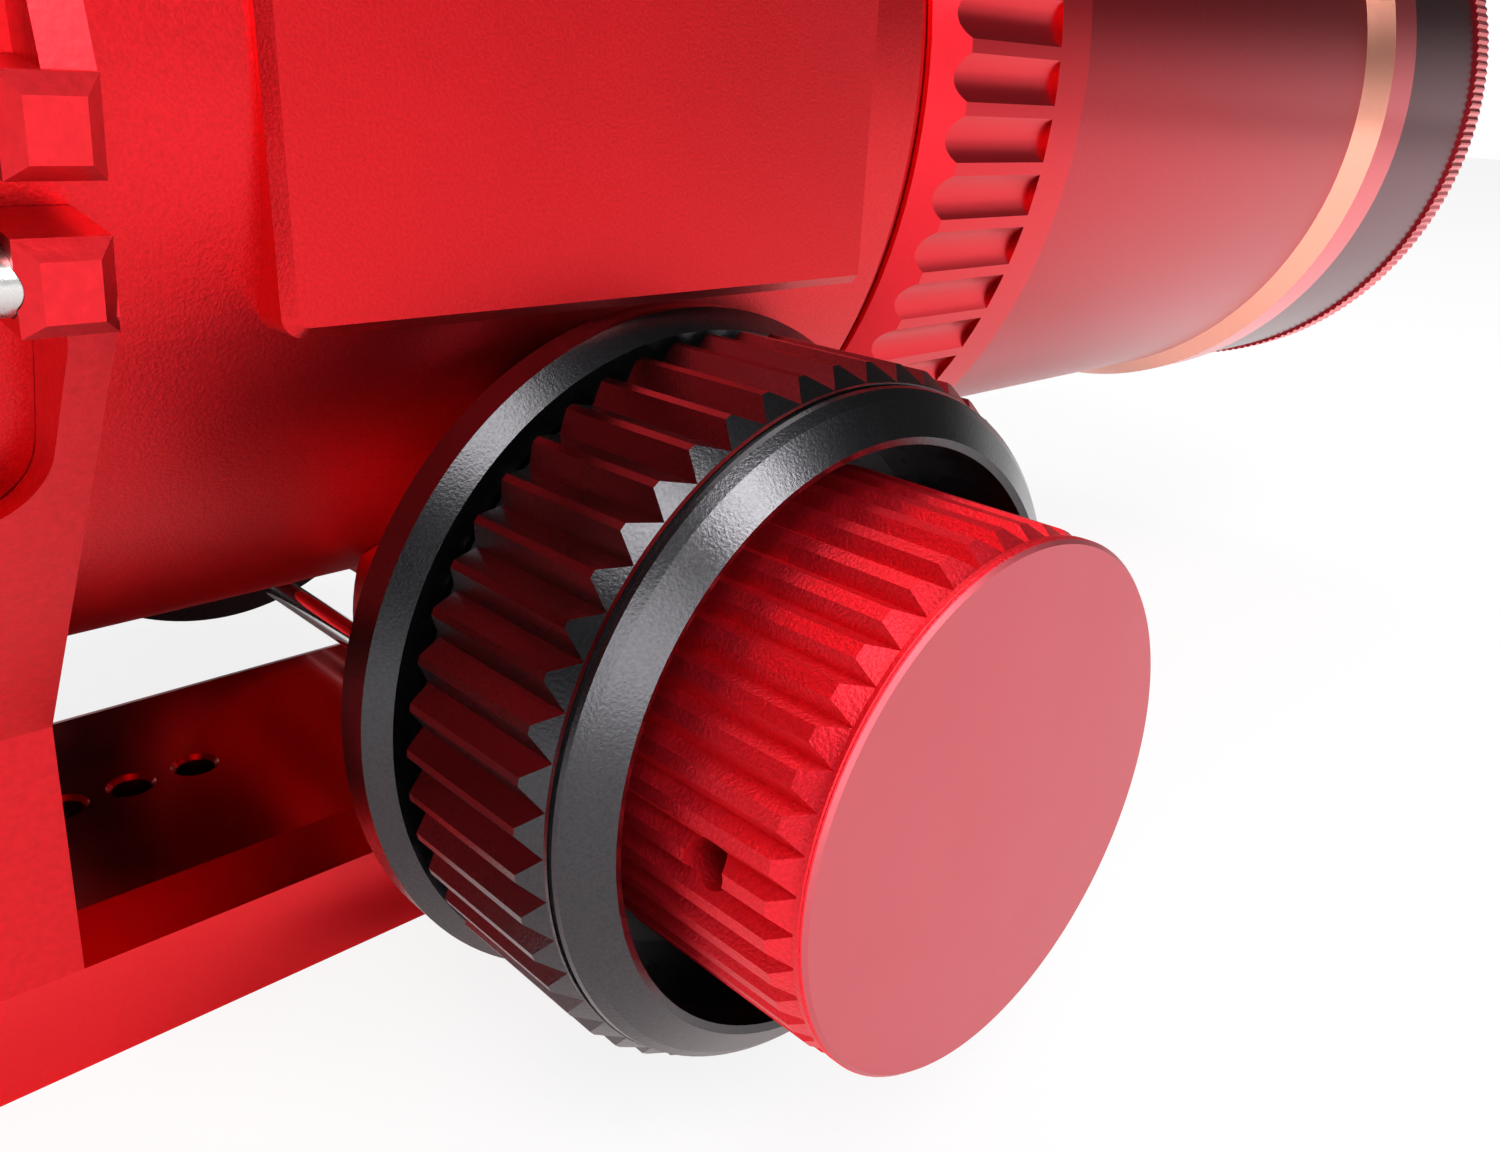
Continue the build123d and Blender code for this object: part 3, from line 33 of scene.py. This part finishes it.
# %% [markdown]
# ## Colour and node helpers
# Colours are written as the sRGB hex values that a painter or a web page would use. The
# renderer works with linear light, so one function turns hex into linear numbers. A second
# small function adds a shader node, sets its values and joins its inputs.

# %% Helpers for colour and nodes
def linear(code, alpha=1.0):
    """Turn an sRGB hex colour such as c0392b into linear red, green, blue and alpha."""
    parts = [int(code[i:i + 2], 16) / 255 for i in (0, 2, 4)]
    return [p / 12.92 if p <= 0.04045 else ((p + 0.055) / 1.055) ** 2.4 for p in parts] + [alpha]


def add_node(tree, kind, settings=None, inputs=None):
    """Add one node; settings are its properties, inputs are values or sockets to join."""
    node = tree.nodes.new(kind)
    for name, value in (settings or {}).items():
        setattr(node, name, value)
    for name, value in (inputs or {}).items():
        if isinstance(value, bpy.types.NodeSocket):
            tree.links.new(value, node.inputs[name])
        else:
            node.inputs[name].default_value = value
    return node


def new_material(name):
    """An empty node material with its surface output."""
    made = bpy.data.materials.new(name)
    made.use_nodes = True
    made.node_tree.nodes.clear()
    return made, made.node_tree, made.node_tree.nodes.new("ShaderNodeOutputMaterial")


print("red", [round(v, 3) for v in linear("d0202a")])

# %% [markdown]
# ## Anodised aluminium
# The real pieces are machined from aluminium, blasted with fine beads, and then anodised:
# a thin, hard, clear layer grows on the metal and takes a dye. The eye sees a coloured
# metal with a soft grain, and a faint white gloss on top from the clear layer. So the
# shader is a full metal in the dye's colour with a thin coat. Bead marks are about 0.2 mm
# across. A second, slow pattern varies the roughness, as hands and blasting do.

# %% Anodised finish
def anodised(name, colour, rough, coat, coat_rough, grain_mm=0.2, grain_depth_mm=0.008,
             deep=None, spread=0.06, hand_mm=9, face_highlight=None):
    """Bead-blasted and dyed aluminium: metal in the dye's colour under a thin clear layer."""
    made, tree, out = new_material(name)
    place = add_node(tree, "ShaderNodeTexCoord").outputs["Object"]
    beads = add_node(tree, "ShaderNodeTexNoise", None,
                     {"Vector": place, "Scale": 1 / (grain_mm * MM), "Detail": 2.0, "Roughness": 0.6})
    handled = add_node(tree, "ShaderNodeTexNoise", None,
                       {"Vector": place, "Scale": 1 / (hand_mm * MM), "Detail": 3.0})
    dye = add_node(tree, "ShaderNodeMix", {"data_type": "RGBA"}, {
        "Factor": beads.outputs["Fac"], "A": linear(deep or colour), "B": linear(colour)})
    tone = add_node(tree, "ShaderNodeMapRange", None, {
        "Value": handled.outputs["Fac"], "From Min": 0.3, "From Max": 0.7,
        "To Min": rough - spread / 2, "To Max": rough + spread / 2})
    strength = 1.0
    if face_highlight:
        # The end face is lightly blasted, so its bump is smoother than the ridges; its paler colour is
        # a painted highlight for the bright light it catches.
        reach = add_node(tree, "ShaderNodeSeparateXYZ", None, {"Vector": place})
        on_face = add_node(tree, "ShaderNodeMath", {"operation": "LESS_THAN"}, {
            0: reach.outputs["Y"], 1: face_highlight["beyond_mm"] * MM})
        dye = add_node(tree, "ShaderNodeMix", {"data_type": "RGBA"}, {
            "Factor": on_face.outputs[0], "A": dye.outputs["Result"], "B": linear(face_highlight["colour"])})
        strength = add_node(tree, "ShaderNodeMapRange", None, {
            "Value": on_face.outputs[0], "To Min": 1.0, "To Max": face_highlight["relief"]}).outputs["Result"]
    relief = add_node(tree, "ShaderNodeBump", None, {
        "Height": beads.outputs["Fac"], "Strength": strength, "Distance": grain_depth_mm * MM})
    shade = add_node(tree, "ShaderNodeBsdfPrincipled", None, {
        "Base Color": dye.outputs["Result"], "Metallic": 1.0, "Roughness": tone.outputs["Result"],
        "Normal": relief.outputs["Normal"], "Coat Weight": coat, "Coat Roughness": coat_rough,
        "Coat Normal": relief.outputs["Normal"]})
    tree.links.new(shade.outputs["BSDF"], out.inputs["Surface"])
    return made


finishes = {
    "tube_red": anodised("anodised aluminium, satin red", "e4131f", 0.38, 0.30, 0.30, deep="b40812",
                         grain_depth_mm=0.02),
    "ring_red": anodised("anodised aluminium, ring red", "e81c28", 0.42, 0.35, 0.40, deep="c40e1a",
                         grain_mm=0.6, grain_depth_mm=0.02),
    "bar_red": anodised("anodised aluminium, bar red", "e0141f", 0.22, 0.40, 0.12, deep="c80c16",
                        grain_depth_mm=0.002),
    # The knob's end face gets a paler colour, a painted highlight, and a smoother bump.
    "knob_red": anodised("anodised aluminium, blasted red", "ff2034", 0.52, 0.40, 0.40, deep="c80c1c",
                         grain_mm=0.22, grain_depth_mm=0.05,
                         face_highlight={"beyond_mm": -71.3, "colour": "be525b", "relief": 0.08}),
    "wheel_black": anodised("anodised aluminium, blasted black", "3e3c40", 0.27, 0.60, 0.22,
                            deep="1a191c", grain_mm=0.2, grain_depth_mm=0.014),
    "inner_black": anodised("anodised aluminium, flat black", "1c1c1e", 0.62, 0.05, 0.6),
    "screw_black": anodised("blackened steel", "2a2a2c", 0.40, 0.10, 0.4),
}
print("anodised finishes:", ", ".join(finishes))

# %% [markdown]
# ## Turned aluminium
# The dew shield, the collar and the caps are turned on a lathe. The tool leaves fine rings,
# here 0.25 mm apart, square to the tube. Rings that fine are drawn as a wave along X in the
# bump. The surface is smoother than the blasted one, so it mirrors the floor more sharply.

# %% Turned finish
WAVE_LENGTH = 0.314  # a band wave at scale 1 repeats every 2 pi / 20


def turned(name, colour, rough, coat, coat_rough, pitch_mm=0.25, depth_mm=0.0006, deep=None,
           speck_mm=0.2, spread=0.06):
    """Lathe-turned and dyed aluminium: fine rings round the tube's axis."""
    made, tree, out = new_material(name)
    place = add_node(tree, "ShaderNodeTexCoord").outputs["Object"]
    rings = add_node(tree, "ShaderNodeTexWave", {"wave_type": "BANDS", "bands_direction": "X"}, {
        "Vector": place, "Scale": WAVE_LENGTH / (pitch_mm * MM), "Distortion": 0.4, "Detail": 1.0})
    specks = add_node(tree, "ShaderNodeTexNoise", None,
                      {"Vector": place, "Scale": 1 / (speck_mm * MM), "Detail": 2.0})
    dye = add_node(tree, "ShaderNodeMix", {"data_type": "RGBA"}, {
        "Factor": specks.outputs["Fac"], "A": linear(deep or colour), "B": linear(colour)})
    tone = add_node(tree, "ShaderNodeMapRange", None, {
        "Value": rings.outputs["Fac"], "To Min": rough - spread / 2, "To Max": rough + spread / 2})
    relief = add_node(tree, "ShaderNodeBump", None, {
        "Height": rings.outputs["Fac"], "Strength": 1.0, "Distance": depth_mm * MM})
    shade = add_node(tree, "ShaderNodeBsdfPrincipled", None, {
        "Base Color": dye.outputs["Result"], "Metallic": 1.0, "Roughness": tone.outputs["Result"],
        "Normal": relief.outputs["Normal"], "Coat Weight": coat, "Coat Roughness": coat_rough})
    tree.links.new(shade.outputs["BSDF"], out.inputs["Surface"])
    return made


finishes |= {
    "collar_red": turned("turned aluminium, collar red", "dc1a2a", 0.32, 0.30, 0.28, deep="cc1220"),
    "shield_red": turned("turned aluminium, shield red", "c41c2c", 0.30, 0.35, 0.22, deep="b41424"),
    "cap_red": turned("turned aluminium, cap red", "f43c4a", 0.30, 0.6, 0.2, deep="e03040"),
    "accent_gold": turned("turned aluminium, gold bevel", "ffb49c", 0.24, 0.3, 0.15, deep="fca48c"),
    "cap_black": turned("turned aluminium, cap black", "70343e", 0.26, 0.05, 0.18, deep="642c36"),
}
print("turned finishes:", ", ".join(list(finishes)[-5:]))

# %% [markdown]
# ## Steel, brass, glass, felt and plastic
# The small parts keep their own metal. Steel and brass are bare metals, polished or turned.
# The lenses are coated glass. The felt ring is short wool fibre, and the rear cap is
# moulded plastic with the fine sparkle of a textured mould.

# %% Bare metal finish
def bare_metal(name, colour, rough, scratch_mm=0.3, depth_mm=0.0005, spread=0.4):
    """Ground or polished bare metal with faint marks."""
    made, tree, out = new_material(name)
    place = add_node(tree, "ShaderNodeTexCoord").outputs["Object"]
    marks = add_node(tree, "ShaderNodeTexNoise", None,
                     {"Vector": place, "Scale": 1 / (scratch_mm * MM), "Detail": 4.0, "Roughness": 0.7})
    tone = add_node(tree, "ShaderNodeMapRange", None, {
        "Value": marks.outputs["Fac"], "To Min": rough * (1 - spread / 2),
        "To Max": rough * (1 + spread / 2)})
    relief = add_node(tree, "ShaderNodeBump", None, {
        "Height": marks.outputs["Fac"], "Strength": 1.0, "Distance": depth_mm * MM})
    shade = add_node(tree, "ShaderNodeBsdfPrincipled", None, {
        "Base Color": linear(colour), "Metallic": 1.0, "Roughness": tone.outputs["Result"],
        "Normal": relief.outputs["Normal"]})
    tree.links.new(shade.outputs["BSDF"], out.inputs["Surface"])
    return made


finishes |= {
    "steel": bare_metal("stainless steel, turned", "c9c8c6", 0.28),
    "polished_steel": bare_metal("stainless steel, polished", "dddcda", 0.10, 0.6, 0.0002),
    "brass": bare_metal("brass, turned", "c9a35a", 0.30),
}
print("bare metals:", ", ".join(list(finishes)[-3:]))


# %% Glass, felt and plastic
def soft_finish(name, colour, rough, grain_mm, depth_mm, spread=0.1, **extra):
    """A finish with no metal in it: plastic or felt, with a grain of its own."""
    made, tree, out = new_material(name)
    place = add_node(tree, "ShaderNodeTexCoord").outputs["Object"]
    grain = add_node(tree, "ShaderNodeTexNoise", None,
                     {"Vector": place, "Scale": 1 / (grain_mm * MM), "Detail": 3.0})
    tone = add_node(tree, "ShaderNodeMapRange", None, {
        "Value": grain.outputs["Fac"], "To Min": rough - spread / 2, "To Max": rough + spread / 2})
    relief = add_node(tree, "ShaderNodeBump", None, {
        "Height": grain.outputs["Fac"], "Strength": 1.0, "Distance": depth_mm * MM})
    inputs = {"Base Color": linear(colour), "Roughness": tone.outputs["Result"],
              "Normal": relief.outputs["Normal"]}
    inputs.update(extra)
    shade = add_node(tree, "ShaderNodeBsdfPrincipled", None, inputs)
    tree.links.new(shade.outputs["BSDF"], out.inputs["Surface"])
    return made


finishes |= {
    "plastic_black": soft_finish("ABS, moulded black", "1d1d1f", 0.5, 0.4, 0.01),
    "felt_black": soft_finish("wool felt, black", "141416", 0.95, 0.3, 0.1, **{"Sheen Weight": 0.3}),
    "lens_glass": soft_finish("optical glass, coated", "e6f4ee", 0.06, 8.0, 0.0001, **{
        "Transmission Weight": 1.0, "IOR": 1.52, "Coat Weight": 0.4,
        "Coat Tint": linear("9fd8c0"), "Coat Roughness": 0.05}),
}
print("other finishes:", ", ".join(list(finishes)[-3:]))

# %% [markdown]
# ## Put each finish on its pieces
# The record says which material slot each piece belongs to, so one loop gives every piece
# its finish.

# %% Assign the finishes
slot_of = {entry["node"]: entry["material_slot"] for entry in frame["record"]["subparts"]}
for node, piece in frame["nodes"].items():
    for place in piece.material_slots:
        place.material = finishes[slot_of[node]]
print("finished pieces:", len(slot_of))

# %% [markdown]
# ## Floor and light
# The telescope stands on pale paper that curves out of sight, so the floor and the
# background are white, and the metal mirrors that white from below. Above it the room is
# dimmer, which gives the upper sides of the tube their deeper red. Four large soft lamps
# stand behind the camera, to its left, in front of the wheel and overhead.

# %% Floor
floor_mesh = bpy.data.meshes.new("studio_floor")
reach = 3.0
floor_mesh.from_pydata([(-reach, -reach, 0), (reach, -reach, 0), (reach, reach, 0), (-reach, reach, 0)],
                       [], [(0, 1, 2, 3)])
floor = bpy.data.objects.new("studio_floor", floor_mesh)
bpy.context.scene.collection.objects.link(floor)
paper, tree, out = new_material("white card")
seen = add_node(tree, "ShaderNodeLightPath")
# Most of the card glows for the camera alone, which keeps it white and still shows a shadow.
glow_share = 0.85
card = add_node(tree, "ShaderNodeBsdfDiffuse", None, {"Color": linear("e8e8e8")})
glow = add_node(tree, "ShaderNodeEmission", None, {"Color": linear("ffffff"), "Strength": 1.0})
share = add_node(tree, "ShaderNodeMath", {"operation": "MULTIPLY"}, {
    0: seen.outputs["Is Camera Ray"], 1: glow_share})
blend = add_node(tree, "ShaderNodeMixShader", None, {
    0: share.outputs[0], 1: card.outputs["BSDF"], 2: glow.outputs["Emission"]})
tree.links.new(blend.outputs["Shader"], out.inputs["Surface"])
floor_mesh.materials.append(paper)
print("floor at z =", 0)

# %% World
world = bpy.data.worlds.new("studio")
bpy.context.scene.world = world
world.use_nodes = True
tree = world.node_tree
tree.nodes.clear()
out = tree.nodes.new("ShaderNodeOutputWorld")
# In reflections the wall fades from bright at the horizon to dim overhead.
wall_low, wall_high, wall_top = 0.85, 0.06, 0.22
seen = add_node(tree, "ShaderNodeLightPath")
room = add_node(tree, "ShaderNodeBackground", None, {"Color": linear("ffffff"), "Strength": 0.50})
height = add_node(tree, "ShaderNodeSeparateXYZ", None,
                  {"Vector": add_node(tree, "ShaderNodeTexCoord").outputs["Generated"]})
fall = add_node(tree, "ShaderNodeMapRange", None, {
    "Value": height.outputs["Z"], "From Min": 0.0, "From Max": wall_top,
    "To Min": wall_low, "To Max": wall_high})
wall = add_node(tree, "ShaderNodeBackground", None, {
    "Color": linear("ffffff"), "Strength": fall.outputs["Result"]})
white = add_node(tree, "ShaderNodeBackground", None, {"Color": linear("ffffff"), "Strength": 1.0})
glossy = add_node(tree, "ShaderNodeMixShader", None, {
    0: seen.outputs["Is Glossy Ray"], 1: room.outputs[0], 2: wall.outputs[0]})
clear = add_node(tree, "ShaderNodeMath", {"operation": "MAXIMUM"}, {
    0: seen.outputs["Is Camera Ray"], 1: seen.outputs["Is Transmission Ray"]})
final = add_node(tree, "ShaderNodeMixShader", None, {
    0: clear.outputs[0], 1: glossy.outputs[0], 2: white.outputs[0]})
tree.links.new(final.outputs[0], out.inputs["Surface"])
print("world ready")

# %% Lamps
target = Vector((0.02, 0, 0.06))  # just ahead of the clamp ring, at half the height


def softbox(name, place, size, power):
    """A square lamp aimed at the telescope."""
    data = bpy.data.lights.new(name, "AREA")
    data.shape = "SQUARE"
    data.size = size
    data.energy = power
    lamp = bpy.data.objects.new(name, data)
    lamp.location = place
    lamp.rotation_euler = (target - Vector(place)).to_track_quat("-Z", "Y").to_euler()
    bpy.context.scene.collection.objects.link(lamp)
    return lamp


softbox("key lamp", (-0.38, -0.50, 0.88), 0.45, 6.0)
softbox("front lamp", (0.19, -0.92, 0.63), 0.32, 6.0)
softbox("left lamp", (-0.42, -1.00, 0.22), 0.60, 6.0)
softbox("top lamp", (0.15, 0.25, 1.00), 0.60, 3.0)
print("four lamps")

# %% [markdown]
# ## Camera
# The camera stands close, behind and to the side of the focus wheel, and looks forward and
# down past it. A 30 mm lens so close makes the knob loom large.

# %% Camera
right = Vector((0.71510, -0.69741, 0.04748))
up = Vector((0.22340, 0.29236, 0.92985))
back = Vector((-0.66237, -0.65432, 0.36487))
camera_data = bpy.data.cameras.new("camera")
camera_data.lens = 29.97
camera_data.sensor_width = 36.0
camera_data.clip_start = 0.005
camera = bpy.data.objects.new("camera", camera_data)
camera.matrix_world = Matrix.Translation((-0.0560, -0.1051, 0.0691)) @ Matrix(
    (right, up, back)).transposed().to_4x4()
bpy.context.scene.collection.objects.link(camera)
bpy.context.scene.camera = camera
bpy.context.scene.view_settings.view_transform = "Standard"
print("camera at", [round(v, 4) for v in camera.location])
